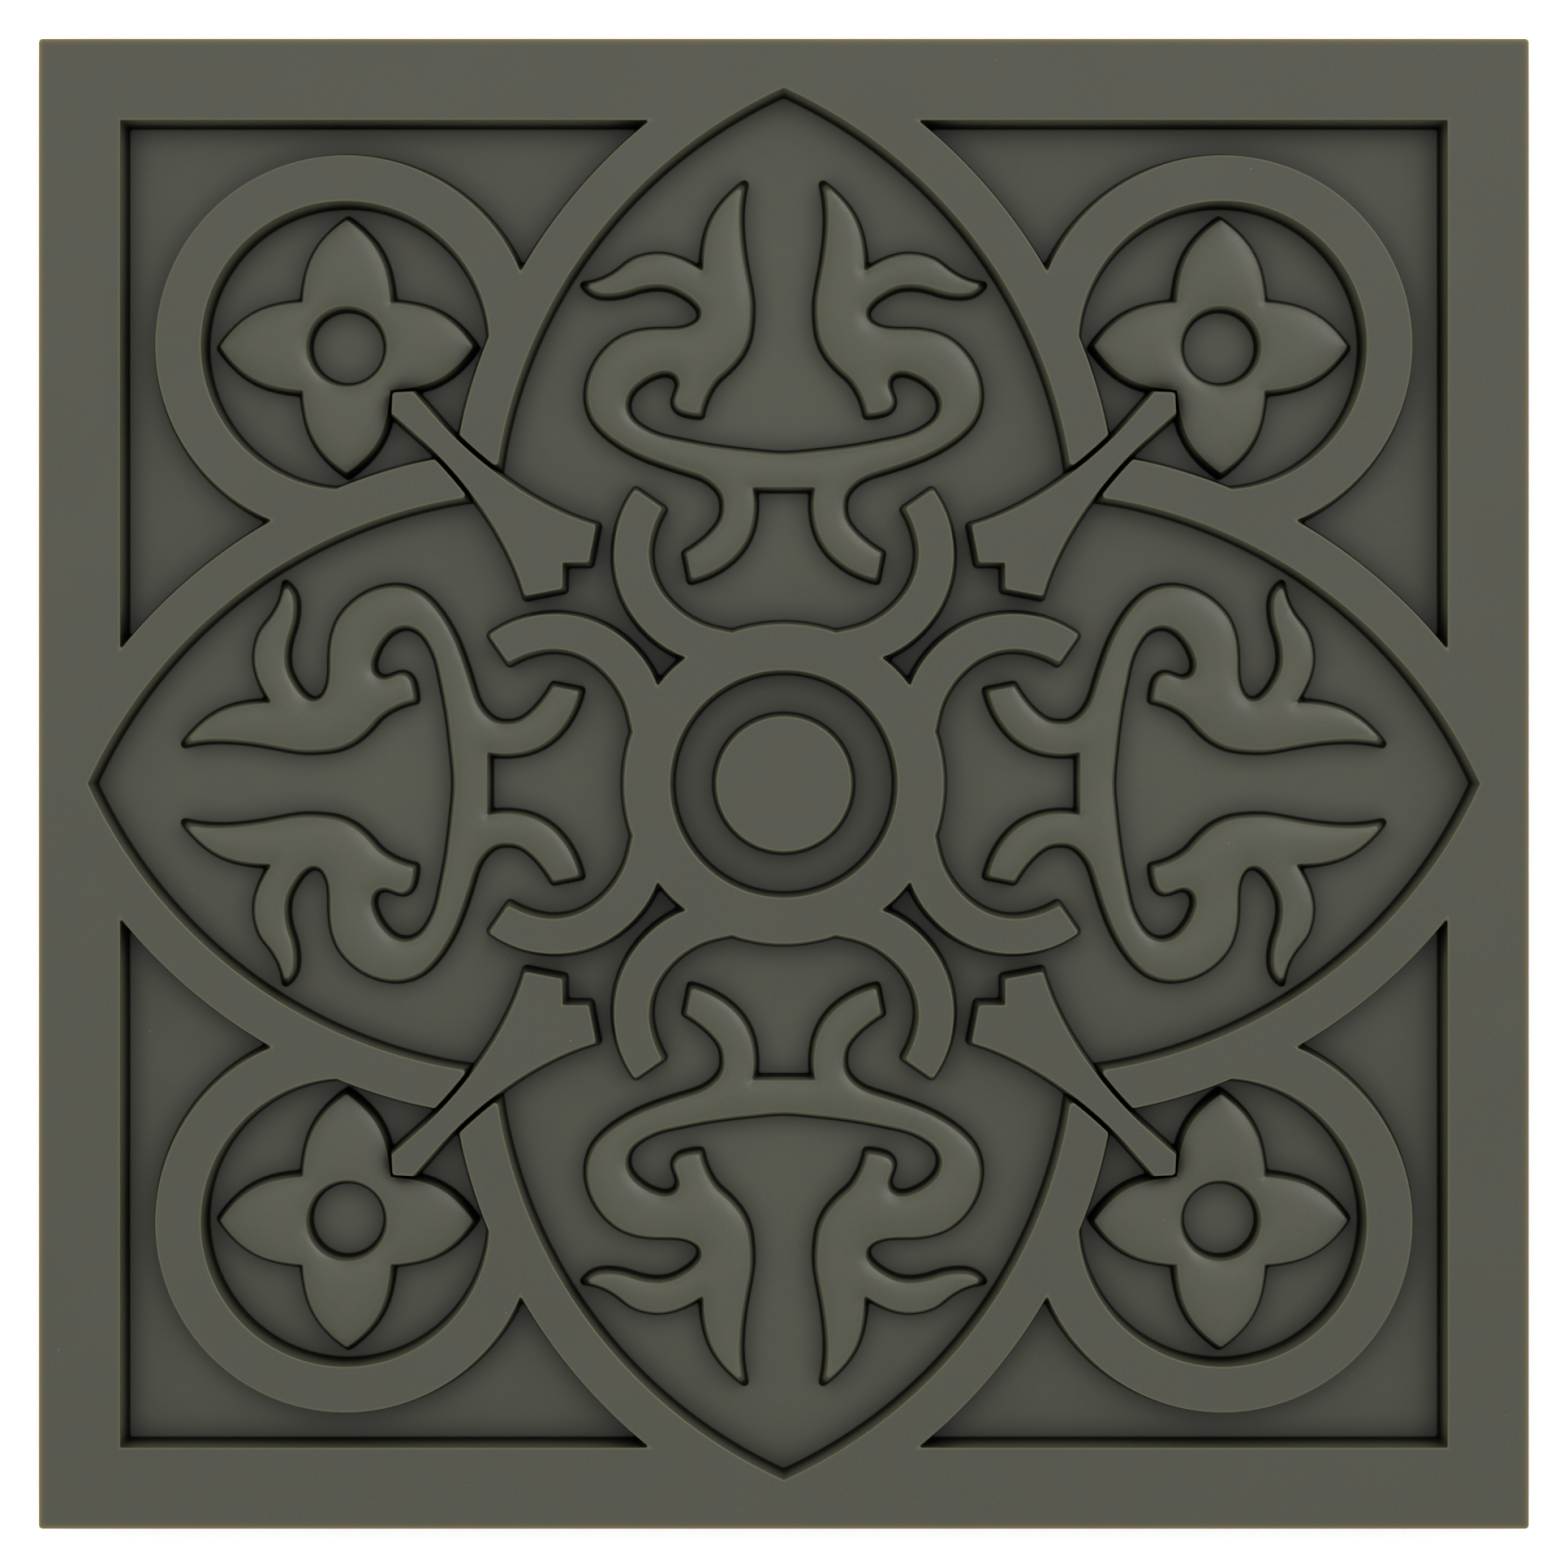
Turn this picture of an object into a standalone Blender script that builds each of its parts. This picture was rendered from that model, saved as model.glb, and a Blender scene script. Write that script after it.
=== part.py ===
"""Silicone soap mould: one square casting, modelled as its floor sheet and the raised bodies on it.

Run with: blender --background --python part.py
The frame has its origin at the middle of the flat back, +Z out of the moulding side.
Driving dimensions are in millimetres, and MM turns them into metres.
"""

import math

import bmesh
import bpy
from mathutils import Matrix, Vector

MM = 0.001
COLLECTION = "silicone_soap_mould"

# The sheet and its rim
SIDE = 200.0
CORNER_RADIUS = 0.6
SHEET_THICKNESS = 5.0
RIM_WIDTH = 10.9

# Heights above the sheet: the level of the rim, and that of the crowned bodies
RELIEF = 7.0
LOW_RELIEF = 4.6

# Pointed arches: each side is an arc about a point on the far side of the arch's own axis
ARCH_CENTRE = (27.6, 32.6)
ARCH_INNER_RADIUS = 66.8
ARCH_OUTER_RADIUS = 72.6
ARCH_FOOT_OUTER = 45.5
ARCH_FOOT_INNER = 41.0
ARCH_WINDOW_START = 80.0

# Corner rings, open towards the middle of the mould
RING_CENTRE = 58.88
RING_OUTER_RADIUS = 25.52
RING_INNER_RADIUS = 19.36
RING_OUTER_START = 8.0
RING_INNER_START = 2.0

# Centre
BOSS_RADIUS = 9.06
ROSETTE_INNER_RADIUS = 15.26
ROSETTE_OUTER_RADIUS = 21.45
ARM_CENTRE = (8.0, 30.85)
ARM_OUTER_RADIUS = 14.8
ARM_END_ANGLE = 36.0
ARM_ROOT_ANGLE = -75.0
ARM_INNER_EDGE = [
    (6.5, 20.2), (8.28, 20.56), (10.88, 21.28), (13.21, 22.53), (15.2, 24.21),
    (16.8, 26.28), (17.83, 28.74), (18.11, 31.4), (17.62, 34.03), (16.3, 37.0),
]

# Straps: half of one, along +X, with the side edge running in from the outer end
STRAP_TIP = 74.25
STRAP_SHOULDER = (72.4, 2.05)
STRAP_SIDE = [
    (69.0, 1.83), (65.0, 1.65), (61.0, 1.77), (57.0, 2.18),
    (53.0, 2.86), (49.0, 3.93), (45.0, 5.44), (42.4, 6.75),
]
STRAP_INNER_CORNER = (39.55, 2.5)
STRAP_NOTCH = 42.0
FOOT_GAP = 0.68
LANE_ENDS = (68.0, 53.0)

# Flowers: half of one petal, from the inner junction to the tip
PETAL_EDGE = [(5.95, 5.95), (5.65, 8.6), (5.0, 11.15), (3.65, 13.7), (1.95, 15.6), (0.0, 17.15)]
FLOWER_WELL_RADIUS = 5.4

# Tendrils: the right half of the one on +Y, as runs between sharp corners, from the axis round to
# the axis again
CURL = [
    (0.0, 44.34), (5.0, 44.74), (10.25, 45.42), (14.0, 46.15), (16.95, 46.85), (19.0, 47.8),
    (20.6, 49.1), (21.28, 50.8), (20.9, 52.55), (19.45, 54.15), (17.5, 55.25), (15.8, 55.58),
    (14.55, 55.1), (14.05, 53.9), (14.4, 52.6), (14.7, 51.4), (14.15, 50.5), (12.95, 50.05),
    (11.3, 49.85),
]
HORN_INNER_EDGE = [
    (11.3, 49.85), (10.76, 51.74), (9.26, 54.4), (7.45, 56.1), (5.94, 57.87), (4.95, 59.95),
    (4.55, 62.4), (4.52, 65.27), (5.02, 68.26), (5.53, 71.18), (5.87, 74.19), (5.93, 77.1),
    (5.45, 80.8),
]
HORN_OUTER_EDGE = [
    (5.45, 80.8), (6.97, 79.5), (8.43, 77.9), (9.7, 75.8), (10.45, 73.45), (10.82, 70.9),
    (10.9, 69.05),
]
WING_TOP_EDGE = [
    (10.9, 69.05), (12.45, 69.95), (14.37, 70.8), (16.3, 71.25), (18.5, 71.13), (20.5, 70.45),
    (22.35, 69.05), (24.05, 68.05), (26.8, 67.3),
]
BODY_OUTER_EDGE = [
    (26.8, 67.3), (25.35, 66.2), (23.6, 65.98), (21.55, 66.25), (19.45, 66.9), (17.2, 67.22),
    (15.15, 66.95), (13.4, 66.1), (11.95, 65.0), (11.12, 63.65), (11.3, 62.6), (12.3, 61.75),
    (13.85, 61.25), (15.6, 61.13), (17.5, 61.1), (19.75, 60.82), (22.0, 60.0), (23.9, 58.5),
    (25.4, 56.45), (26.3, 54.0), (26.4, 51.5), (25.6, 49.15), (24.1, 47.4), (21.9, 45.75),
    (19.2, 44.3), (16.2, 43.15), (13.2, 42.2), (11.0, 41.45), (9.2, 40.2), (8.3, 38.95),
    (8.05, 37.2), (8.35, 35.6), (9.35, 34.1), (11.05, 32.5), (13.2, 31.05),
]
LEG_INNER_EDGE = [
    (12.5, 27.5), (10.0, 28.35), (7.8, 29.67), (5.85, 31.57), (4.55, 34.0), (4.03, 36.5),
    (4.0, 38.4), (4.2, 39.88),
]
BRIDGE_UNDERSIDE = (0.0, 39.88)

CHORD_ERROR = 0.03
COPIES = 4
SILICONE_COLOUR = (0.112, 0.112, 0.092, 1.0)
SILICONE_ROUGHNESS = 0.55


# Outlines: lists of (x, y) in millimetres

def arc(centre, radius, start, end):
    """Points on an arc between two angles in degrees, close enough for CHORD_ERROR."""
    step = 2 * math.acos(1 - CHORD_ERROR / radius)
    count = max(1, math.ceil(abs(math.radians(end - start)) / step))
    angles = [math.radians(start + (end - start) * i / count) for i in range(count + 1)]
    return [(centre[0] + radius * math.cos(a), centre[1] + radius * math.sin(a)) for a in angles]


def circle(radius):
    return arc((0, 0), radius, 0, 360)[:-1]


def knot_tangents(knots):
    """The direction at each knot of the circle through it and its neighbours."""
    steps = [b - a for a, b in zip(knots, knots[1:])]
    middle = [
        (a / a.length_squared + b / b.length_squared).normalized()
        for a, b in zip(steps, steps[1:])
    ]
    first, last = steps[0].normalized(), steps[-1].normalized()
    start = 2 * middle[0].dot(first) * first - middle[0]
    end = 2 * middle[-1].dot(last) * last - middle[-1]
    return [start, *middle, end]


def smooth(points):
    """A curve through the points, nearly circular between neighbours, as points along it."""
    knots = [Vector(p) for p in points]
    tangents = knot_tangents(knots)
    found = [tuple(knots[0])]
    for a, b, leaving, arriving in zip(knots, knots[1:], tangents, tangents[1:]):
        chord = b - a
        pull_a = 2 * chord.length / (1 + leaving.dot(chord.normalized()))
        pull_b = 2 * chord.length / (1 + arriving.dot(chord.normalized()))
        turn = leaving.angle(arriving)
        count = max(1, math.ceil(math.sqrt(chord.length * turn / (8 * CHORD_ERROR))))
        for i in range(1, count + 1):
            t = i / count
            point = (
                a * (2 * t**3 - 3 * t**2 + 1) + leaving * pull_a * (t**3 - 2 * t**2 + t)
                + b * (3 * t**2 - 2 * t**3) + arriving * pull_b * (t**3 - t**2)
            )
            found.append(tuple(point))
    return found


def joined(*runs):
    """Runs end to end, with the point that two share kept once."""
    outline = []
    for run in runs:
        for point in run:
            if not outline or math.dist(outline[-1], point) > CHORD_ERROR:
                outline.append(tuple(point))
    if math.dist(outline[0], outline[-1]) < CHORD_ERROR:
        outline.pop()
    return outline


def flipped(points, across):
    """The points mirrored across the X or the Y axis, and in the opposite order."""
    signs = (1, -1) if across == "x" else (-1, 1)
    return [(x * signs[0], y * signs[1]) for x, y in reversed(points)]


def turned(points, degrees):
    turn = Matrix.Rotation(math.radians(degrees), 2)
    return [tuple(turn @ Vector(p)) for p in points]


def square(half):
    return [(-half, -half), (half, -half), (half, half), (-half, half)]


def rounded_square(half, radius):
    corner = arc((half - radius, half - radius), radius, 0, 90)
    return joined(*[turned(corner, 90 * i) for i in range(4)])


def arch_side(radius, foot_height):
    """The left side of the arch on +Y, from its foot up to its point."""
    rise = foot_height - ARCH_CENTRE[1]
    foot = 180 - math.degrees(math.asin(rise / radius))
    point = 180 - math.degrees(math.acos(ARCH_CENTRE[0] / radius))
    return arc(ARCH_CENTRE, radius, foot, point)


def arch_outline():
    """The pointed band on +Y, its feet reaching into the lanes that the straps run in."""
    inner = arch_side(ARCH_INNER_RADIUS, ARCH_FOOT_INNER)
    outer = arch_side(ARCH_OUTER_RADIUS, ARCH_FOOT_OUTER)
    half = joined(inner[::-1], outer)
    return joined(half, flipped(half, "y"))


def arch_window_outline():
    """The point of the field inside the arch, where it runs on into the rim."""
    side = arch_side(ARCH_INNER_RADIUS, ARCH_FOOT_INNER)
    half = [(x, y) for x, y in side if y > ARCH_WINDOW_START]
    return joined(half, flipped(half, "y"))


def open_ring_outline():
    """The corner ring at (-RING_CENTRE, RING_CENTRE), open between the arch feet."""
    centre = (-RING_CENTRE, RING_CENTRE)
    outer = arc(centre, RING_OUTER_RADIUS, RING_OUTER_START, 270 - RING_OUTER_START)
    inner = arc(centre, RING_INNER_RADIUS, 270 - RING_INNER_START, RING_INNER_START)
    return joined(outer, inner)


def arm_outline():
    """One rosette arm, the right one on +Y, with its root inside the rosette's ring."""
    outer = arc(ARM_CENTRE, ARM_OUTER_RADIUS, ARM_END_ANGLE, ARM_ROOT_ANGLE)
    return joined(smooth(ARM_INNER_EDGE), outer)


def strap_side():
    return smooth([STRAP_SHOULDER, *STRAP_SIDE])


def strap_outline():
    half = joined([(STRAP_TIP, 0)], strap_side(), [STRAP_INNER_CORNER, (STRAP_NOTCH, 0)])
    return joined(half, flipped(half, "x"))


def lane_outline():
    """The strap's middle stretch widened by the gap that its neighbours keep from it."""
    outer_end, inner_end = LANE_ENDS
    edge = [(u, v + FOOT_GAP) for u, v in strap_side() if inner_end <= u <= outer_end]
    return joined(edge, flipped(edge, "x"))


def petal_outline():
    edge = smooth(PETAL_EDGE)
    return joined(edge, flipped(edge, "y"))


def flower_outline():
    return joined(*[turned(petal_outline(), 90 * i) for i in range(4)])


def tendril_outline():
    half = joined(
        smooth(CURL), smooth(HORN_INNER_EDGE), smooth(HORN_OUTER_EDGE), smooth(WING_TOP_EDGE),
        smooth(BODY_OUTER_EDGE), smooth(LEG_INNER_EDGE), [BRIDGE_UNDERSIDE],
    )
    return joined(half, flipped(half, "y"))


# Solids

def silicone(name):
    material = bpy.data.materials.new(name + "_silicone")
    material.use_nodes = True
    shader = material.node_tree.nodes["Principled BSDF"]
    shader.inputs["Base Color"].default_value = SILICONE_COLOUR
    shader.inputs["Roughness"].default_value = SILICONE_ROUGHNESS
    shader.inputs["Metallic"].default_value = 0.0
    return material


def relief(name, loops, low, high, collection):
    """A flat outline, with any further loops as holes, raised from one height to another."""
    curve = bpy.data.curves.new(name + "_outline", "CURVE")
    curve.dimensions = "2D"
    curve.fill_mode = "BOTH"
    curve.extrude = (high - low) / 2 * MM
    for loop in loops:
        spline = curve.splines.new("POLY")
        spline.points.add(len(loop) - 1)
        for point, (x, y) in zip(spline.points, loop):
            point.co = (x * MM, y * MM, 0, 1)
        spline.use_cyclic_u = True
    drawn = bpy.data.objects.new(name + "_outline", curve)
    bpy.context.scene.collection.objects.link(drawn)
    graph = bpy.context.evaluated_depsgraph_get()
    mesh = bpy.data.meshes.new_from_object(drawn.evaluated_get(graph), depsgraph=graph)
    bpy.data.objects.remove(drawn)

    body = bmesh.new()
    body.from_mesh(mesh)
    bmesh.ops.remove_doubles(body, verts=body.verts, dist=1e-6)
    for vertex in body.verts:
        vertex.co.z = (high if vertex.co.z > 0 else low) * MM
    bmesh.ops.recalc_face_normals(body, faces=body.faces)
    body.to_mesh(mesh)
    body.free()
    mesh.name = name
    mesh.materials.clear()
    mesh.materials.append(silicone(name))
    solid = bpy.data.objects.new(name, mesh)
    collection.objects.link(solid)
    return solid


def helper_collection(name, parent):
    """A collection for solids that only cut or join others."""
    found = bpy.data.collections.new(name)
    parent.children.link(found)
    found.hide_render = True
    return found


def combine(solid, operation, collection):
    modifier = solid.modifiers.new(operation.lower(), "BOOLEAN")
    modifier.operation = operation
    modifier.operand_type = "COLLECTION"
    modifier.collection = collection
    modifier.solver = "EXACT"


def build_floor_sheet(parts):
    outline = rounded_square(SIDE / 2, CORNER_RADIUS)
    relief("floor_sheet", [outline], 0, SHEET_THICKNESS, parts)


def build_border_tracery(parts, helpers):
    """The rim, the arches and the corner rings, joined because they share one level top."""
    low, high = SHEET_THICKNESS, SHEET_THICKNESS + RELIEF
    window = square(SIDE / 2 - RIM_WIDTH)
    rim = rounded_square(SIDE / 2, CORNER_RADIUS)
    tracery = relief("border_tracery", [rim, window], low, high, parts)

    joins = helper_collection("arches_and_rings", helpers)
    cuts = helper_collection("strap_lanes_and_arch_points", helpers)
    for i in range(COPIES):
        turn = 90 * i
        relief(f"arch_{i + 1}", [turned(arch_outline(), turn)], low, high, joins)
        relief(f"corner_ring_{i + 1}", [turned(open_ring_outline(), turn)], low, high, joins)
        lane = turned(lane_outline(), turn + 45)
        relief(f"strap_lane_{i + 1}", [lane], low - 1, high + 1, cuts)
        point = turned(arch_window_outline(), turn)
        relief(f"arch_point_{i + 1}", [point], low - 1, high + 1, cuts)
    combine(tracery, "UNION", joins)
    combine(tracery, "DIFFERENCE", cuts)


def build_rosette(parts, helpers):
    low, high = SHEET_THICKNESS, SHEET_THICKNESS + RELIEF
    loops = [circle(ROSETTE_OUTER_RADIUS), circle(ROSETTE_INNER_RADIUS)]
    rosette = relief("rosette", loops, low, high, parts)
    arms = helper_collection("rosette_arms", helpers)
    for i in range(COPIES):
        for side, outline in (("right", arm_outline()), ("left", flipped(arm_outline(), "y"))):
            relief(f"arm_{side}_{i + 1}", [turned(outline, 90 * i)], low, high, arms)
    combine(rosette, "UNION", arms)
    relief("centre_boss", [circle(BOSS_RADIUS)], low, high, parts)


def build_fourfold_bodies(parts):
    """The straps, tendrils and flowers, each drawn once and turned a quarter at a time."""
    low = SHEET_THICKNESS
    for i in range(COPIES):
        turn = math.radians(90 * i)
        strap = relief(f"strap_{i + 1}", [strap_outline()], low, low + RELIEF, parts)
        strap.rotation_euler.z = turn + math.radians(45)
        tendril = relief(f"tendril_{i + 1}", [tendril_outline()], low, low + LOW_RELIEF, parts)
        tendril.rotation_euler.z = turn
        loops = [flower_outline(), circle(FLOWER_WELL_RADIUS)]
        flower = relief(f"flower_{i + 1}", loops, low, low + LOW_RELIEF, parts)
        reach = RING_CENTRE * math.sqrt(2) * MM
        angle = turn + math.radians(45)
        flower.location = (reach * math.cos(angle), reach * math.sin(angle), 0)


def main():
    for old in list(bpy.data.objects):
        bpy.data.objects.remove(old)
    parts = bpy.data.collections.new(COLLECTION)
    bpy.context.scene.collection.children.link(parts)
    helpers = helper_collection("cutters", bpy.context.scene.collection)
    build_floor_sheet(parts)
    build_border_tracery(parts, helpers)
    build_rosette(parts, helpers)
    build_fourfold_bodies(parts)


main()
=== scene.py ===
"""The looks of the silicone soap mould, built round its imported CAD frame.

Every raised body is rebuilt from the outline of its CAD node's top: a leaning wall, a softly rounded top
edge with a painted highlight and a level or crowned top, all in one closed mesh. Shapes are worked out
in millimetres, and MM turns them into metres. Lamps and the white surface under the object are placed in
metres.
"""

import functools
import math

import bpy
import numpy as np
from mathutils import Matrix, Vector
from mathutils.geometry import delaunay_2d_cdt


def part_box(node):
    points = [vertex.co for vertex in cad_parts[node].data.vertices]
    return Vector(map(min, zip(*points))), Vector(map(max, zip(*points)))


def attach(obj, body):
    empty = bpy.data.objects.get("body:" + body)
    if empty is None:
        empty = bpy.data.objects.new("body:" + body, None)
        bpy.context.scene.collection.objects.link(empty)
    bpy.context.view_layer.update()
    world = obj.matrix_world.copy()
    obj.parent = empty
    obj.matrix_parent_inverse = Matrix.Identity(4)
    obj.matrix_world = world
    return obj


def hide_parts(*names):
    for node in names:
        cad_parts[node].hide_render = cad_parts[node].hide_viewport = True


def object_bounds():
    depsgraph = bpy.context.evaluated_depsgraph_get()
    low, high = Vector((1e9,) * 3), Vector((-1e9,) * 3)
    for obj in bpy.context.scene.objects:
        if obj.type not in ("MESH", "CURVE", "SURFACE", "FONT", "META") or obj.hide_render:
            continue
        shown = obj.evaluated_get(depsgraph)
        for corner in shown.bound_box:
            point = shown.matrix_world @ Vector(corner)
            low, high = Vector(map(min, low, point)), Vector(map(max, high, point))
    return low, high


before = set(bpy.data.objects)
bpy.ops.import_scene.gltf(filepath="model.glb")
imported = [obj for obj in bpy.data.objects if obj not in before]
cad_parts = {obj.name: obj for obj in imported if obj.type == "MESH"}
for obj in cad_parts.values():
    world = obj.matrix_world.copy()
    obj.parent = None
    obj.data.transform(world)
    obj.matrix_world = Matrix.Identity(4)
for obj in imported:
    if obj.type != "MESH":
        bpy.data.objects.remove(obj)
cad_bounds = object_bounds()

MM = 0.001
BODY = "root"
WHITE = (1, 1, 1, 1)

# Reading outlines from the CAD nodes: what counts as one point, as a corner and as straight, and how
# far apart points are put
WELD = 0.002
REPEAT_GAP = 0.02
CORNER_TURN = math.radians(30)
KINK_TURN = math.radians(12)
KINK_CURVATURE = 2.5
STRAIGHT_TURN = math.radians(0.2)
SPACING = 0.45
STRAIGHT_SPACING = 6.0

# Moving an outline in or out: how many points from a corner its two runs are searched for their
# crossing, and the most of a run that one rounded corner may take
CORNER_SEARCH = 90
PARALLEL = 1e-12
MOST_OF_RUN = 0.42
CORNER_POINTS = 5
TOP_CORNER_RADIUS = 0.45
FOOT_CORNER_RADIUS = 0.55
OUTER_CORNER_RADIUS = 0.5
CONCAVE_RADIUS = 0.2

# Walls: how far the foot stands out from the top edge, and how deep it goes into the sheet
WALL_LEAN = 0.60
LOW_WALL_LEAN = 0.65
WALL_STEPS = (0.05, 0.3, 0.6, 0.85, 1.0)
EMBED = 0.4
SHARP_ANGLE = math.radians(50)

# Rounded edges, each with the slopes in degrees that its rings stand for
EDGE_RADIUS = 0.16
EDGE_SLOPES = (0, 30, 60, 85)
LOW_EDGE_RADIUS = 0.3
LOW_EDGE_SLOPES = (25, 45, 65, 84)
BACK_EDGE_RADIUS = 0.5
BACK_EDGE_SLOPES = (90, 60, 30, 0)

# Painted light on a level top, by how far in from the edge: a highlight along inner edges and a glow
# along the outer edge; and painted glow on the outer sides, by how far down. Over the rounded edge
# between the two, the last mark of the top grows by a share.
EDGE_HIGHLIGHT_IN = ((0.34, 0.0), (0.22, 0.14), (0.17, 0.32))
GLOW_IN = ((1.2, 0.0), (0.8, 0.03), (0.5, 0.12), (0.3, 0.32), (0.2, 0.55))
GLOW_DOWN = ((0.5, 0.25), (1.2, 0.08), (2.5, 0.0))
MARK_GROWTH = 0.6

# Crowned tops: how far their edge is below the CAD's level top, the most that they swell from there,
# how far in from the edge that takes, and the points and steps for working it out
CROWN_EDGE_DROP = 0.6
CROWN_RISE = 0.9
CROWN_REACH = 1.9
CROWN_GRID = 0.7
GRID_CLEARANCE = 0.6
SOLVER_STEPS = 600
SOLVER_TOLERANCE = 1e-14
LEAST_AREA = 1e-9
LEAST_SHORTFALL = 1e-3

# How Blender triangulates: only inside the outlines, merging points closer than this
TRIANGLES_INSIDE = 1
MERGE_GAP = 1e-7


# Outlines

def cad_loops(node):
    """The outlines of a CAD node's level top, each with the material on its left."""
    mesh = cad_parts[node].data
    mesh.calc_loop_triangles()
    points = np.array([v.co[:] for v in mesh.vertices]) / MM
    keys = np.round(points / WELD).astype(int)
    _, first, index = np.unique(keys, axis=0, return_index=True, return_inverse=True)
    points = points[first]
    faces = index.reshape(-1)[np.array([t.vertices[:] for t in mesh.loop_triangles])]
    level = points[:, 2].max() - WELD
    faces = faces[(points[faces][:, :, 2] > level).all(axis=1)]
    edges = {(int(f[i]), int(f[i - 2])) for f in faces for i in range(3) if f[i] != f[i - 2]}
    following = {a: b for a, b in sorted(edges) if (b, a) not in edges}
    loops = []
    while following:
        start = min(following)
        loop, at = [start], following.pop(start)
        while at != start:
            loop.append(at)
            at = following.pop(at)
        loops.append(without_repeats(points[loop][:, :2]))
    return loops


def without_repeats(points):
    kept = [points[0]]
    for point in points[1:]:
        if np.hypot(*(point - kept[-1])) > REPEAT_GAP:
            kept.append(point)
    if np.hypot(*(kept[0] - kept[-1])) < REPEAT_GAP:
        kept.pop()
    return np.array(kept)


def unit(v):
    return v / np.linalg.norm(v, axis=-1, keepdims=True)


def cross(a, b):
    return a[..., 0] * b[..., 1] - a[..., 1] * b[..., 0]


def turn_between(a, b):
    return np.arctan2(cross(a, b), (a * b).sum(axis=-1))


def corners_of(loop):
    """The places in a closed loop where it turns sharply, and not as part of a curve."""
    before = loop - np.roll(loop, 1, axis=0)
    after = np.roll(loop, -1, axis=0) - loop
    turn = np.abs(turn_between(before, after))
    bend = turn / (np.linalg.norm(before, axis=1) + np.linalg.norm(after, axis=1))
    beside = np.maximum(np.roll(bend, 1), np.roll(bend, -1))
    sharp = (turn > CORNER_TURN) | ((turn > KINK_TURN) & (bend > KINK_CURVATURE * beside))
    return np.flatnonzero(sharp)


def directions(knots, closed):
    """At each knot, the direction of the circle through it and its neighbours."""
    steps = np.diff(knots, axis=0)
    if len(steps) == 1:
        return unit(np.repeat(steps, 2, axis=0))
    weighted = steps / (steps**2).sum(axis=1, keepdims=True)
    middle = unit(weighted[:-1] + weighted[1:])
    if closed:
        seam = unit(weighted[-1:] + weighted[:1])
        return np.concatenate([seam, middle, seam])
    first, last = unit(steps[0]), unit(steps[-1])
    start = 2 * middle[0].dot(first) * first - middle[0]
    end = 2 * middle[-1].dot(last) * last - middle[-1]
    return np.concatenate([[start], middle, [end]])


def curve_through(knots, closed=False):
    """Closely spaced points on a curve through the knots, and the curve's direction at each."""
    heading = directions(knots, closed)
    points, along = [knots[:1]], [heading[:1]]
    for a, b, u, v in zip(knots, knots[1:], heading, heading[1:]):
        chord = b - a
        length = np.hypot(*chord)
        straight = abs(turn_between(u, v)) < STRAIGHT_TURN
        count = max(1, math.ceil(length / (STRAIGHT_SPACING if straight else SPACING)))
        t = (np.arange(1, count + 1) / count)[:, None]
        pull_a = 2 * length / (1 + u.dot(chord) / length) * u
        pull_b = 2 * length / (1 + v.dot(chord) / length) * v
        points.append(
            a * (2 * t**3 - 3 * t**2 + 1) + pull_a * (t**3 - 2 * t**2 + t)
            + b * (3 * t**2 - 2 * t**3) + pull_b * (t**3 - t**2)
        )
        along.append(unit(
            (a - b) * (6 * t**2 - 6 * t) + pull_a * (3 * t**2 - 4 * t + 1)
            + pull_b * (3 * t**2 - 2 * t)
        ))
    return np.concatenate(points), np.concatenate(along)


def runs_of(loop):
    """The loop as smooth runs from corner to corner, each as (points, directions)."""
    corners = corners_of(loop)
    if not len(corners):
        return [curve_through(np.concatenate([loop, loop[:1]]), closed=True)]
    loop = np.roll(loop, -corners[0], axis=0)
    ends = [*(corners - corners[0]), len(loop)]
    loop = np.concatenate([loop, loop[:1]])
    return [curve_through(loop[a:b + 1]) for a, b in zip(ends, ends[1:])]


def square_runs(low, high):
    """The four straight runs of a square outline, from the corners of its box."""
    corners = [(low.x, low.y), (high.x, low.y), (high.x, high.y), (low.x, high.y)]
    corners = np.array(corners) / MM
    sides = [np.array([corners[i], corners[(i + 1) % 4]]) for i in range(4)]
    return [(side, directions(side, closed=False)) for side in sides]


def lengths_along(points):
    return np.concatenate([[0], np.cumsum(np.linalg.norm(np.diff(points, axis=0), axis=1))])


def stretch(points, start, end, fractions):
    """Points at these fractions of the way between two lengths along a polyline."""
    at = lengths_along(points)
    wanted = start + (end - start) * fractions
    return np.stack([np.interp(wanted, at, points[:, 0]), np.interp(wanted, at, points[:, 1])], 1)


def line_crossing(p, u, q, v):
    return p + u * (cross(q - p, v) / cross(u, v))


def trimmed(a, b):
    """Two polylines that overrun each other at a corner, both cut back to where they cross."""
    p, q = a[-CORNER_SEARCH:], b[:CORNER_SEARCH]
    u, v = np.diff(p, axis=0)[:, None], np.diff(q, axis=0)[None]
    gap = q[None, :-1] - p[:-1, None]
    size = cross(u, v)
    size = np.where(np.abs(size) < PARALLEL, PARALLEL, size)
    s, t = cross(gap, v) / size, cross(gap, u) / size
    hits = np.argwhere((s >= 0) & (s <= 1) & (t >= 0) & (t <= 1))
    if not len(hits):
        middle = (a[-1:] + b[:1]) / 2
        return np.concatenate([a[:-1], middle]), np.concatenate([middle, b[1:]])
    i, j = hits[np.argmin(hits[:, 0] - hits[:, 1])]
    meeting = (p[i] + s[i, j] * u[i, 0])[None]
    kept = len(a) - len(p) + i + 1
    return np.concatenate([a[:kept], meeting]), np.concatenate([meeting, b[j + 1:]])


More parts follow.
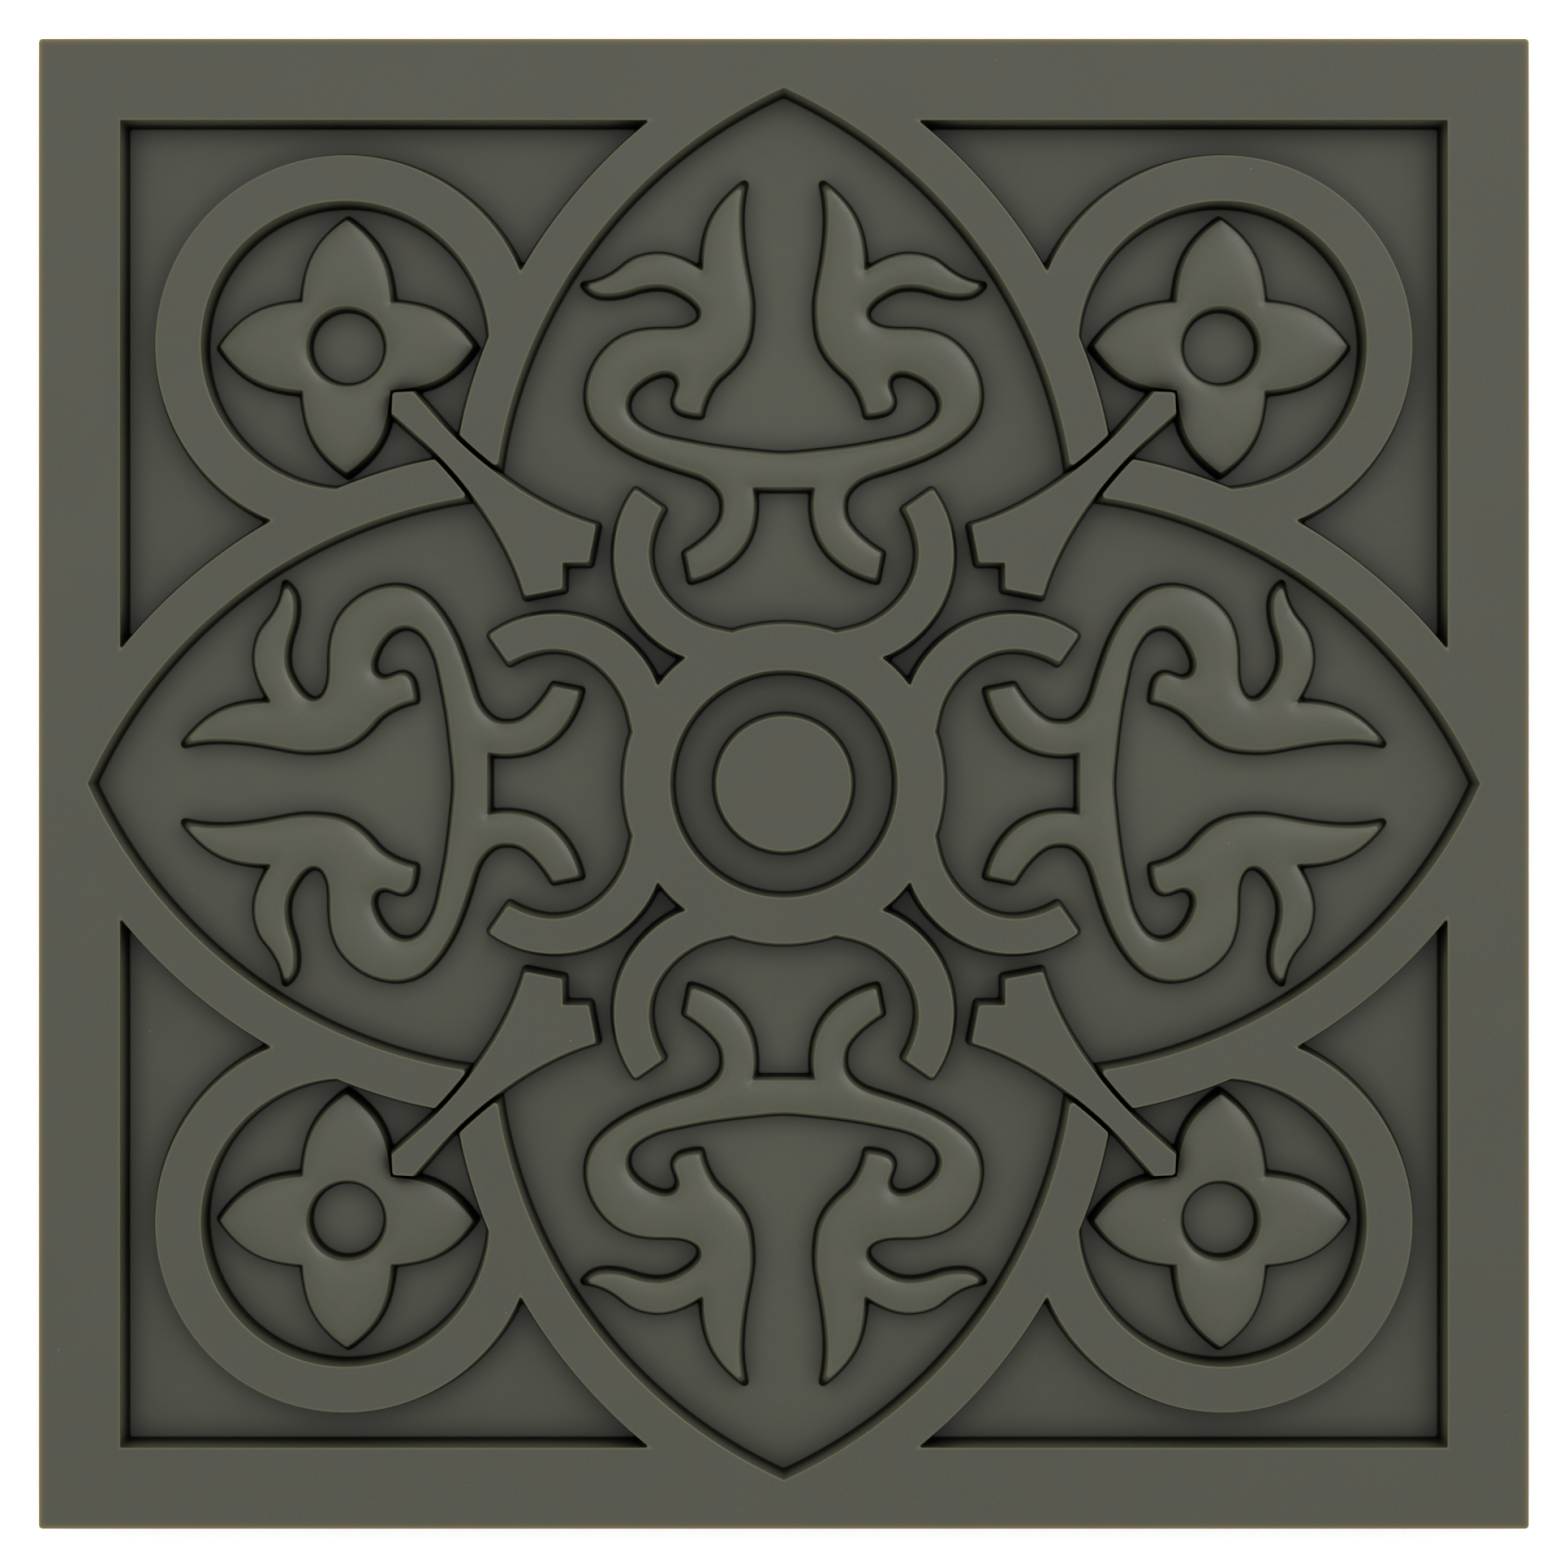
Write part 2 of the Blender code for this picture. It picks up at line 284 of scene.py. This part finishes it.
def moved_runs(runs, turns, offset):
    """The runs moved outwards by an offset, stretched or cut back so that they meet again."""
    moved = [p + offset * np.stack([d[:, 1], -d[:, 0]], axis=1) for p, d in runs]
    for i, turn in enumerate(turns):
        j = (i + 1) % len(runs)
        if offset * turn > 0:
            meeting = line_crossing(moved[i][-1], runs[i][1][-1], moved[j][0], runs[j][1][0])
            moved[i] = np.concatenate([moved[i], meeting[None]])
            moved[j] = np.concatenate([meeting[None], moved[j]])
        elif offset:
            moved[i], moved[j] = trimmed(moved[i], moved[j])
    return moved


def offset_loop(runs, offset, corner_radius):
    """The loop moved outwards by an offset, with its corners met and rounded again.

    Every offset of one loop has the same number of points, so two of them bound a strip of faces.
    """
    if len(runs) == 1 and np.allclose(runs[0][0][0], runs[0][0][-1]):
        points, heading = runs[0]
        return (points + offset * np.stack([heading[:, 1], -heading[:, 0]], axis=1))[:-1]
    following = runs[1:] + runs[:1]
    turns = [turn_between(a[1][-1], b[1][0]) for a, b in zip(runs, following)]
    moved = moved_runs(runs, turns, offset)
    lengths = [lengths_along(run)[-1] for run in moved]
    cuts = []
    for turn, length, next_length in zip(turns, lengths, lengths[1:] + lengths[:1]):
        radius = corner_radius if turn > 0 else CONCAVE_RADIUS
        cuts.append(min(radius * math.tan(abs(turn) / 2), MOST_OF_RUN * min(length, next_length)))
    pieces = []
    for i, run in enumerate(moved):
        places = lengths_along(runs[i][0])
        pieces.append(stretch(run, cuts[i - 1], lengths[i] - cuts[i], places / places[-1]))
    joined = []
    for piece, next_piece in zip(pieces, pieces[1:] + pieces[:1]):
        joined += [piece, rounded_corner(piece, next_piece)]
    return np.concatenate(joined)


def rounded_corner(a, b):
    """Points on an arc from the end of one run to the start of the next, without those two."""
    u, v = unit(a[-1] - a[-2]), unit(b[1] - b[0])
    turn = abs(turn_between(u, v))
    chord = np.hypot(*(b[0] - a[-1]))
    handle = chord * 2 / 3 / (1 + math.cos(turn / 2))
    t = (np.arange(1, CORNER_POINTS + 1) / (CORNER_POINTS + 1))[:, None]
    p, q = a[-1] + u * handle, b[0] - v * handle
    return a[-1] * (1 - t)**3 + 3 * p * t * (1 - t)**2 + 3 * q * t**2 * (1 - t) + b[0] * t**3


# Meshes

class Body:
    """A closed mesh made of rings of points, strips between them, and caps.

    Each point carries the marks that the material reads: edge for a painted highlight along a top edge,
    glow for painted light along a thin outer edge, as if light came through it, depth for the share of a
    wall that is above it, which sets the wall's painted shade, and inset for how far in from the outline
    of a crowned top.
    """

    def __init__(self):
        self.points = []
        self.faces = []
        self.marks = {"edge": [], "glow": [], "depth": [], "inset": []}

    def ring(self, outline, height, **marks):
        start = len(self.points)
        self.points += [(x, y, height) for x, y in outline]
        for label, values in self.marks.items():
            values += [marks.get(label, 0.0)] * len(outline)
        return list(range(start, len(self.points)))

    def strip(self, upper, lower):
        """Faces between two rings, facing away from the material on the rings' left."""
        for i in range(len(upper)):
            j = (i + 1) % len(upper)
            self.faces.append((upper[i], lower[i], lower[j], upper[j]))

    def rings(self, rows):
        """A ring for each (outline, height, marks), joined in order from the top down."""
        made = [self.ring(outline, height, **marks) for outline, height, marks in rows]
        for upper, lower in zip(made, made[1:]):
            self.strip(upper, lower)
        return made[0], made[-1]

    def fill(self, rings, up):
        """A cap across the rings, the later ones being holes."""
        index = np.concatenate(rings)
        _, triangles, source = triangulated([self.plan(ring) for ring in rings])
        for face in index[source[triangles]]:
            self.faces.append(tuple(face if up else face[::-1]))

    def plan(self, ring):
        return np.array([self.points[i][:2] for i in ring])

    def object(self, name, material):
        mesh = bpy.data.meshes.new(name)
        mesh.from_pydata([tuple(c * MM for c in p) for p in self.points], [], self.faces)
        for label, values in self.marks.items():
            layer = mesh.attributes.new(label, "FLOAT", "POINT")
            layer.data.foreach_set("value", np.array(values, np.float32))
        mesh.shade_smooth()
        mesh.set_sharp_from_angle(angle=SHARP_ANGLE)
        mesh.materials.append(material)
        made = bpy.data.objects.new(name, mesh)
        bpy.context.scene.collection.objects.link(made)
        return made


def inside(points, loops):
    """Whether each point is inside the outer loop and in none of the holes."""
    found = np.zeros(len(points), bool)
    for loop in loops:
        for p, q in zip(loop, np.roll(loop, -1, axis=0)):
            spans = (p[1] > points[:, 1]) != (q[1] > points[:, 1])
            if spans.any():
                x = p[0] + (points[:, 1] - p[1]) * (q[0] - p[0]) / (q[1] - p[1])
                found ^= spans & (points[:, 0] < x)
    return found


def triangulated(loops, extra=np.empty((0, 2))):
    """Triangles that fill the outlines, the later ones being holes, and use the extra points too.

    Returns the points, the triangles with their corners counter-clockwise, and each point's
    place among those of the loops and then the extra ones.
    """
    starts = np.cumsum([0] + [len(loop) for loop in loops])
    edges = [
        (a + i, a + (i + 1) % (b - a)) for a, b in zip(starts, starts[1:]) for i in range(b - a)
    ]
    sites = [Vector(p) for p in np.concatenate([*loops, extra])]
    found, _, triangles, origin, _, _ = delaunay_2d_cdt(sites, edges, [], TRIANGLES_INSIDE, MERGE_GAP)
    points = np.array([v[:] for v in found])
    triangles = np.array(triangles)
    triangles = triangles[inside(points[triangles].mean(axis=1), loops)]
    a, b, c = np.moveaxis(points[triangles], 1, 0)
    counter = cross(b - a, c - a) > 0
    triangles = np.where(counter[:, None], triangles, triangles[:, ::-1])
    return points, triangles, np.array([min(places) for places in origin])


def area(outline):
    return cross(outline, np.roll(outline, -1, axis=0)).sum() / 2


def outer_first(loops):
    return sorted(loops, key=area, reverse=True)


def edge_round(radius, slopes):
    """For each slope in degrees on a rounded edge: the offset inwards, the drop and the slope."""
    for slope in map(math.radians, slopes):
        yield radius * (math.sin(slope) - 1), radius * (1 - math.cos(slope)), slope


def highlighted_edge_rows(outline, top, label, inward):
    """The rings over a level top's rounded edge, from the level down to the wall.

    The mark named label, a painted highlight or a painted glow, grows outwards, by the (inset, amount)
    pairs and then round the edge.
    """
    rows = [(outline(-inset), top, {label: amount}) for inset, amount in inward]
    for offset, drop, slope in edge_round(EDGE_RADIUS, EDGE_SLOPES):
        amount = inward[-1][1] * (1 + MARK_GROWTH * math.sin(slope))
        rows.append((outline(offset), top - drop, {label: amount}))
    return rows


def leaning_rows(runs, start, foot, lean):
    """The rings of a wall from below its top edge down to just under the floor."""
    rows = []
    for share in WALL_STEPS:
        radius = TOP_CORNER_RADIUS + (FOOT_CORNER_RADIUS - TOP_CORNER_RADIUS) * share
        outline = offset_loop(runs, lean * share, radius)
        rows.append((outline, start + (foot - start) * share, {"depth": share}))
    rows.append((rows[-1][0], foot - EMBED, {"depth": 1.0}))
    return rows


def level_body(node, material, at_side=False):
    """A body with a level top. One at_side has outer walls that continue the sheet's own sides."""
    low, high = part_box(node)
    top, foot = high.z / MM, low.z / MM
    body = Body()
    tops, feet = [], []
    for loop in outer_first(cad_loops(node)):
        if at_side and not tops:
            runs, radius = square_runs(low, high), OUTER_CORNER_RADIUS
            label, inward = "glow", GLOW_IN
            side = offset_loop(runs, 0, radius)
            below = [(side, top - depth, {"glow": amount}) for depth, amount in GLOW_DOWN]
            below.append((side, foot, {}))
        else:
            runs, radius = runs_of(loop), TOP_CORNER_RADIUS
            label, inward = "edge", EDGE_HIGHLIGHT_IN
            below = leaning_rows(runs, top - EDGE_RADIUS, foot, WALL_LEAN)
        outline = functools.partial(offset_loop, runs, corner_radius=radius)
        upper, lower = body.rings(highlighted_edge_rows(outline, top, label, inward) + below)
        tops.append(upper)
        feet.append(lower)
    body.fill(tops, up=True)
    body.fill(feet, up=False)
    return body.object(node + "_relief", material)


def grid_inside(loops, spacing):
    """Evenly spaced points that keep clear of the outline."""
    low = np.min([l.min(axis=0) for l in loops], axis=0)
    high = np.max([l.max(axis=0) for l in loops], axis=0)
    rows = np.arange(low[1], high[1], spacing * math.sqrt(3) / 2)
    across = np.arange(low[0], high[0], spacing)
    shifts = [i % 2 * spacing / 2 for i in range(len(rows))]
    points = np.array([(x + shift, y) for y, shift in zip(rows, shifts) for x in across])
    points = points[inside(points, loops)]
    outline = np.concatenate(loops)
    nearest = np.array([((outline - p)**2).sum(axis=1).min() for p in points])
    return points[nearest > (GRID_CLEARANCE * spacing)**2]


def inflate(points, triangles, fixed, reach):
    """Heights from 0 at the fixed points to 1 well inside, like a skin blown up off its rim.

    Solves h - reach^2 * laplacian(h) = 1 over the triangles, by conjugate gradients.
    """
    corners = points[triangles]
    first, second, weight = [], [], []
    mass = np.zeros(len(points))
    for k in range(3):
        a, b, c = corners[:, k], corners[:, (k + 1) % 3], corners[:, (k + 2) % 3]
        doubled = np.abs(cross(b - a, c - a))
        first.append(triangles[:, (k + 1) % 3])
        second.append(triangles[:, (k + 2) % 3])
        weight.append(((b - a) * (c - a)).sum(axis=1) / np.maximum(doubled, LEAST_AREA) / 2)
        mass += np.bincount(triangles[:, k], doubled / 6, len(points))
    first, second, weight = map(np.concatenate, (first, second, weight))

    def apply(h):
        flow = weight * (h[first] - h[second]) * reach**2
        out = np.bincount(first, flow, len(h)) - np.bincount(second, flow, len(h)) + mass * h
        return np.where(fixed, 0, out)

    heights = np.zeros(len(points))
    left = np.where(fixed, 0, mass)
    step, size = left.copy(), left.dot(left)
    for _ in range(SOLVER_STEPS):
        moved = apply(step)
        share = size / step.dot(moved)
        heights += share * step
        left -= share * moved
        new = left.dot(left)
        if new < SOLVER_TOLERANCE * len(points):
            break
        step = left + new / size * step
        size = new
    return heights


def crowned_rows(runs, edge_height, floor):
    """The rings from a crowned top's edge down to the foot."""
    edge = list(edge_round(LOW_EDGE_RADIUS, LOW_EDGE_SLOPES))
    start = edge_height + edge[0][1]
    rows = [(offset_loop(runs, offset, TOP_CORNER_RADIUS), start - drop, {}) for offset, drop, _ in edge]
    return rows + leaning_rows(runs, rows[-1][1], floor, LOW_WALL_LEAN)


def crowned_body(node, material):
    """A body whose top swells gently from its edge."""
    low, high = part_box(node)
    edge_height = high.z / MM - CROWN_EDGE_DROP
    body = Body()
    tops, feet = [], []
    for loop in outer_first(cad_loops(node)):
        top, foot = body.rings(crowned_rows(runs_of(loop), edge_height, low.z / MM))
        tops.append(top)
        feet.append(foot)
    body.fill(feet, up=False)

    rim = np.concatenate(tops)
    loops = [body.plan(ring) for ring in tops]
    points, triangles, source = triangulated(loops, grid_inside(loops, CROWN_GRID))
    fixed = source < len(rim)
    number = []
    for point, place, rise in zip(points, source, inflate(points, triangles, fixed, CROWN_REACH)):
        if place < len(rim):
            number.append(rim[place])
        else:
            inset = -CROWN_REACH * math.log(max(1 - rise, LEAST_SHORTFALL))
            number += body.ring([point], edge_height + CROWN_RISE * rise, inset=inset)
    body.faces += [tuple(face) for face in np.array(number)[triangles]]
    return body.object(node + "_relief", material)


def sheet_body(node, material):
    """The floor sheet: its top is the floor of every hollow, its back is flat."""
    low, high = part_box(node)
    outline = functools.partial(offset_loop, square_runs(low, high), corner_radius=OUTER_CORNER_RADIUS)
    rows = [(outline(0), high.z / MM, {})]
    for offset, rise, _ in edge_round(BACK_EDGE_RADIUS, BACK_EDGE_SLOPES):
        rows.append((outline(offset), low.z / MM + rise, {}))
    body = Body()
    top, back = body.rings(rows)
    body.fill([top], up=True)
    body.fill([back], up=False)
    return body.object(node + "_web", material)


# Materials

# The colour sockets of Blender's mix node, which shares its socket names between data types
MIX_COLOUR_A = 6
MIX_COLOUR_B = 7
MIX_COLOUR_RESULT = 2

OPENNESS_SAMPLES = 6


class Nodes:
    """A short way to add and link shader nodes."""

    def __init__(self, material):
        material.use_nodes = True
        self.tree = material.node_tree
        self.shader = self.tree.nodes["Principled BSDF"]

    def add(self, kind, inputs=None, **settings):
        node = self.tree.nodes.new(kind)
        for name, value in settings.items():
            setattr(node, name, value)
        for name, value in (inputs or {}).items():
            self.put(node.inputs[name], value)
        return node

    def put(self, socket, value):
        if isinstance(value, bpy.types.NodeSocket):
            self.tree.links.new(value, socket)
        else:
            socket.default_value = value

    def maths(self, operation, a, b=0.0):
        node = self.add("ShaderNodeMath", operation=operation)
        self.put(node.inputs[0], a)
        self.put(node.inputs[1], b)
        return node.outputs[0]

    def ramp(self, value, low, high, to_low=0.0, to_high=1.0, shape="SMOOTHSTEP"):
        node = self.add("ShaderNodeMapRange", {
            "Value": value, "From Min": low, "From Max": high, "To Min": to_low, "To Max": to_high,
        }, interpolation_type=shape)
        return node.outputs[0]

    def mark(self, label):
        return self.add("ShaderNodeAttribute", attribute_name=label).outputs["Fac"]

    def openness(self, reach):
        """How much of the sky is clear of surfaces within a reach in millimetres."""
        inputs = {"Distance": reach * MM}
        return self.add("ShaderNodeAmbientOcclusion", inputs, samples=OPENNESS_SAMPLES).outputs["AO"]

    def mix(self, factor, a, b, blend="MIX"):
        node = self.add("ShaderNodeMix", data_type="RGBA", blend_type=blend)
        self.put(node.inputs["Factor"], factor)
        self.put(node.inputs[MIX_COLOUR_A], a)
        self.put(node.inputs[MIX_COLOUR_B], b)
        return node.outputs[MIX_COLOUR_RESULT]

    def noise(self, place, per_mm, detail=2.0):
        return self.add("ShaderNodeTexNoise", {
            "Vector": place, "Scale": per_mm / MM, "Detail": detail,
        }).outputs["Fac"]


# Colours of the three silicone looks, and what is mixed into them or multiplied onto them
LEVEL = (0.072, 0.075, 0.052, 1)
SHEET = (0.080, 0.086, 0.059, 1)
CROWNED = (0.085, 0.089, 0.061, 1)
GRAIN = (0.11, 0.11, 0.09, 1)
CLOUD_TINT = (0.96, 0.96, 0.95, 1)
BLOTCH_TINT = (1.05, 1.0, 0.96, 1)
# Painted highlight along the top edges, pale and yellowish
EDGE_HIGHLIGHT = (0.185, 0.170, 0.085, 1)
# Painted glow: light that seems to come through the thin outer edge
GLOW = (0.30, 0.205, 0.060, 1)
# A painted olive tint on the walls, for the light that they reflect
WALL = (0.096, 0.095, 0.059, 1)
# Painted shade: near black in creases and down the walls
CREASE_SHADE = (0.002, 0.0025, 0.001, 1)
# Painted shade near walls and in corners, a little purplish
CORNER_SHADE = (0.03, 0.0, 0.02, 1)
DUST = (0.30, 0.29, 0.24, 1)

# Noise waves per millimetre
CLOUDS_PER_MM = 0.06
BLOTCHES_PER_MM = 0.3
GRAINS_PER_MM = 3.0
TEETH_PER_MM = 5.0

# The bands of those noises that the looks use, and how much of the grain colour is mixed in
CLOUD_BAND = (0.3, 0.7)
BLOTCH_BAND = (0.4, 0.6)
GRAIN_BAND = (0.3, 0.7)
GRAIN_AMOUNT = 0.2
GLOSS_BAND = (0.2, 0.8)

# Dust: cells per millimetre, the distance in cells at which a speck starts to fade and at which it
# is gone, and the random number above which a cell has one
SPECK_CELLS_PER_MM = 0.35
SPECK_CORE = 0.018
SPECK_END = 0.036
SPECK_CHANCE = 0.80

# A crowned top: how far in the painted highlight along its rim reaches, how strong it is, and the pitch
# of its fine rings
RIM_REACH = 0.2
RIM_AMOUNT = 0.2
STRIATION_PITCH = 0.26

# Painted shade: the reach of creases and of corners, and the openness at which each is darkest and at
# which it is gone. A wall takes its painted olive tint over the first share of its height, and its
# painted shade darkens it between two shares to what is left of its light at the foot.
CREASE_REACH = 0.42
CREASE_OPENNESS = (0.50, 0.80)
CORNER_REACH = 3.3
CORNER_OPENNESS = (0.05, 1.0)
WALL_COLOUR_DEPTH = 0.1
WALL_DARK_DEPTHS = (0.0, 0.85)
LOW_WALL_DARK_DEPTHS = (0.1, 0.6)
FOOT_LIGHT = 0.07

# Gloss, and fine relief with heights in millimetres
ROUGHNESS = (0.36, 0.46)
REFRACTIVE_INDEX = 1.41
SPECULAR_LEVEL = 0.5
TOOTH_STRENGTH = 0.25
TOOTH_HEIGHT = 0.02
STRIATION_STRENGTH = 0.13
STRIATION_HEIGHT = 0.01


def silicone(name, colour, striated=False):
    """Cast silicone: faint mottling, a fine tooth and stray dust, with painted light: highlights on the
    edges, glow on the outer sides, and shade in creases, near walls and down the walls.
    """
    material = bpy.data.materials.new(name)
    nodes = Nodes(material)
    shader = nodes.shader
    place = nodes.add("ShaderNodeTexCoord").outputs["Object"]

    cloud = nodes.noise(place, CLOUDS_PER_MM, detail=3.0)
    grain = nodes.noise(place, GRAINS_PER_MM)
    blotch = nodes.noise(place, BLOTCHES_PER_MM)
    colour = nodes.mix(nodes.ramp(cloud, *CLOUD_BAND), colour, CLOUD_TINT, "MULTIPLY")
    colour = nodes.mix(nodes.ramp(blotch, *BLOTCH_BAND), colour, BLOTCH_TINT, "MULTIPLY")
    colour = nodes.mix(nodes.ramp(grain, *GRAIN_BAND, 0.0, GRAIN_AMOUNT), colour, GRAIN)
    # Painted highlight along the top edges, and painted glow on the thin outer sides
    if striated:
        edge_highlight = nodes.ramp(nodes.mark("inset"), 0.0, RIM_REACH, RIM_AMOUNT, 0.0)
    else:
        edge_highlight = nodes.mark("edge")
    colour = nodes.mix(edge_highlight, colour, EDGE_HIGHLIGHT)
    colour = nodes.mix(nodes.mark("glow"), colour, GLOW)

    specks = nodes.add("ShaderNodeTexVoronoi", {"Vector": place, "Scale": SPECK_CELLS_PER_MM / MM})
    near = nodes.ramp(specks.outputs["Distance"], SPECK_CORE, SPECK_END, 1.0, 0.0)
    chance = nodes.add("ShaderNodeSeparateColor", {"Color": specks.outputs["Color"]}).outputs[0]
    picked = nodes.ramp(chance, SPECK_CHANCE, 1.0)
    colour = nodes.mix(nodes.maths("MULTIPLY", near, picked), colour, DUST)

    # Painted shade: walls take their painted olive tint and darken towards the foot, creases go near
    # black, and floors darken near walls and in corners
    depth = nodes.mark("depth")
    colour = nodes.mix(nodes.ramp(depth, 0.0, WALL_COLOUR_DEPTH), colour, WALL)
    crease = nodes.ramp(nodes.openness(CREASE_REACH), *CREASE_OPENNESS)
    corner = nodes.ramp(nodes.openness(CORNER_REACH), *CORNER_OPENNESS, shape="LINEAR")
    dark_depths = LOW_WALL_DARK_DEPTHS if striated else WALL_DARK_DEPTHS
    wall = nodes.ramp(depth, *dark_depths, 1.0, FOOT_LIGHT)
    open_sky = nodes.maths("MULTIPLY", crease, wall)
    colour = nodes.mix(1.0, colour, nodes.mix(corner, CORNER_SHADE, WHITE), "MULTIPLY")
    colour = nodes.mix(open_sky, CREASE_SHADE, colour)
    nodes.put(shader.inputs["Base Color"], colour)

    nodes.put(shader.inputs["Roughness"], nodes.ramp(grain, *GLOSS_BAND, *ROUGHNESS))
    nodes.put(shader.inputs["IOR"], REFRACTIVE_INDEX)
    # The painted shade also lowers the gloss in creases and down the walls
    nodes.put(shader.inputs["Specular IOR Level"], nodes.maths("MULTIPLY", open_sky, SPECULAR_LEVEL))

    tooth = nodes.noise(place, TEETH_PER_MM)
    bump = nodes.add("ShaderNodeBump", {
        "Height": tooth, "Strength": TOOTH_STRENGTH, "Distance": TOOTH_HEIGHT * MM,
    })
    if striated:
        phase = nodes.maths("MULTIPLY", nodes.mark("inset"), 2 * math.pi / STRIATION_PITCH)
        bump = nodes.add("ShaderNodeBump", {
            "Height": nodes.maths("SINE", phase),
            "Strength": STRIATION_STRENGTH,
            "Distance": STRIATION_HEIGHT * MM,
            "Normal": bump.outputs["Normal"],
        })
    nodes.put(shader.inputs["Normal"], bump.outputs["Normal"])
    return material


# The scene

# The camera looks straight down from a height above the top. The picture is CAMERA_SPAN wide at that
# top, and its middle lies about 10 mm from the point below the camera, so the lens is shifted.
CAMERA_HEIGHT = 816.5
CAMERA_SPAN = 210.45
CAMERA_PLACE = (-3.03, 10.1)
VIEW_CENTRE = (0.02, -0.02)
SENSOR = 36.0

# How close to the camera things are still seen, in metres
CLIP_START = 0.01

# Lamps, in metres and watts
SKY_STRENGTH = 0.86
OVERHEAD_PLACE = (-0.2, 0.3, 1.2)
OVERHEAD_SIZE = 0.9
OVERHEAD_WATTS = 1.4
OVERHEAD_COLOUR = (1.0, 0.995, 0.97)
SHEEN_PLACE = (1.58, 1.36, 2.16)
SHEEN_SIZE = 2.1
SHEEN_WATTS = 45.0
SHEEN_COLOUR = (1.0, 1.0, 0.98)

# The white surface under the object, in metres
FLOOR_HALF = 3.0
FLOOR_DROP = 0.0002
FLOOR_COLOUR = (0.9, 0.9, 0.9, 1)
FLOOR_ROUGHNESS = 0.8
FLOOR_GLOW = 0.45


def build_camera(top):
    camera = bpy.data.cameras.new("camera")
    camera.sensor_width = SENSOR
    camera.lens = SENSOR * CAMERA_HEIGHT / CAMERA_SPAN
    camera.shift_x = (VIEW_CENTRE[0] - CAMERA_PLACE[0]) / CAMERA_SPAN
    camera.shift_y = (VIEW_CENTRE[1] - CAMERA_PLACE[1]) / CAMERA_SPAN
    camera.clip_start = CLIP_START
    held = bpy.data.objects.new("camera", camera)
    held.location = (CAMERA_PLACE[0] * MM, CAMERA_PLACE[1] * MM, top + CAMERA_HEIGHT * MM)
    bpy.context.scene.collection.objects.link(held)
    bpy.context.scene.camera = held


def area_light(name, place, size, watts, colour):
    """A round lamp that points at the middle of the object's back."""
    lamp = bpy.data.lights.new(name, "AREA")
    lamp.shape = "DISK"
    lamp.size = size
    lamp.energy = watts
    lamp.color = colour
    held = bpy.data.objects.new(name, lamp)
    held.location = place
    held.rotation_euler = (-Vector(place)).to_track_quat("-Z", "Y").to_euler()
    bpy.context.scene.collection.objects.link(held)
    return held


def build_light():
    """An even white sky, a weak lamp overhead, and one that is seen only as a sheen."""
    world = bpy.data.worlds.new("studio")
    world.use_nodes = True
    background = world.node_tree.nodes["Background"]
    background.inputs["Color"].default_value = WHITE
    background.inputs["Strength"].default_value = SKY_STRENGTH
    bpy.context.scene.world = world
    area_light("overhead", OVERHEAD_PLACE, OVERHEAD_SIZE, OVERHEAD_WATTS, OVERHEAD_COLOUR)
    sheen = area_light("sheen", SHEEN_PLACE, SHEEN_SIZE, SHEEN_WATTS, SHEEN_COLOUR)
    sheen.visible_diffuse = False


def build_floor():
    """A plain white surface under the object, bright enough to read as white paper."""
    mesh = bpy.data.meshes.new("floor")
    corners = [(-1, -1), (1, -1), (1, 1), (-1, 1)]
    mesh.from_pydata([(x * FLOOR_HALF, y * FLOOR_HALF, 0) for x, y in corners], [], [(0, 1, 2, 3)])
    floor = bpy.data.objects.new("floor", mesh)
    floor.location.z = -FLOOR_DROP
    material = bpy.data.materials.new("white_paper")
    nodes = Nodes(material)
    nodes.put(nodes.shader.inputs["Base Color"], FLOOR_COLOUR)
    nodes.put(nodes.shader.inputs["Roughness"], FLOOR_ROUGHNESS)
    nodes.put(nodes.shader.inputs["Emission Color"], WHITE)
    nodes.put(nodes.shader.inputs["Emission Strength"], FLOOR_GLOW)
    mesh.materials.append(material)
    bpy.context.scene.collection.objects.link(floor)


def build_mould():
    sheet = silicone("silicone_sheet", SHEET)
    level = silicone("silicone_level", LEVEL)
    crowned = silicone("silicone_crowned", CROWNED, striated=True)
    for node in sorted(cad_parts):
        if node == "floor_sheet":
            piece = sheet_body(node, sheet)
        elif node == "border_tracery":
            piece = level_body(node, level, at_side=True)
        elif node.startswith(("tendril", "flower")):
            piece = crowned_body(node, crowned)
        else:
            piece = level_body(node, level)
        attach(piece, BODY)
        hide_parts(node)


bpy.context.scene.view_settings.view_transform = "Standard"
build_mould()
build_floor()
build_light()
build_camera(cad_bounds[1].z)
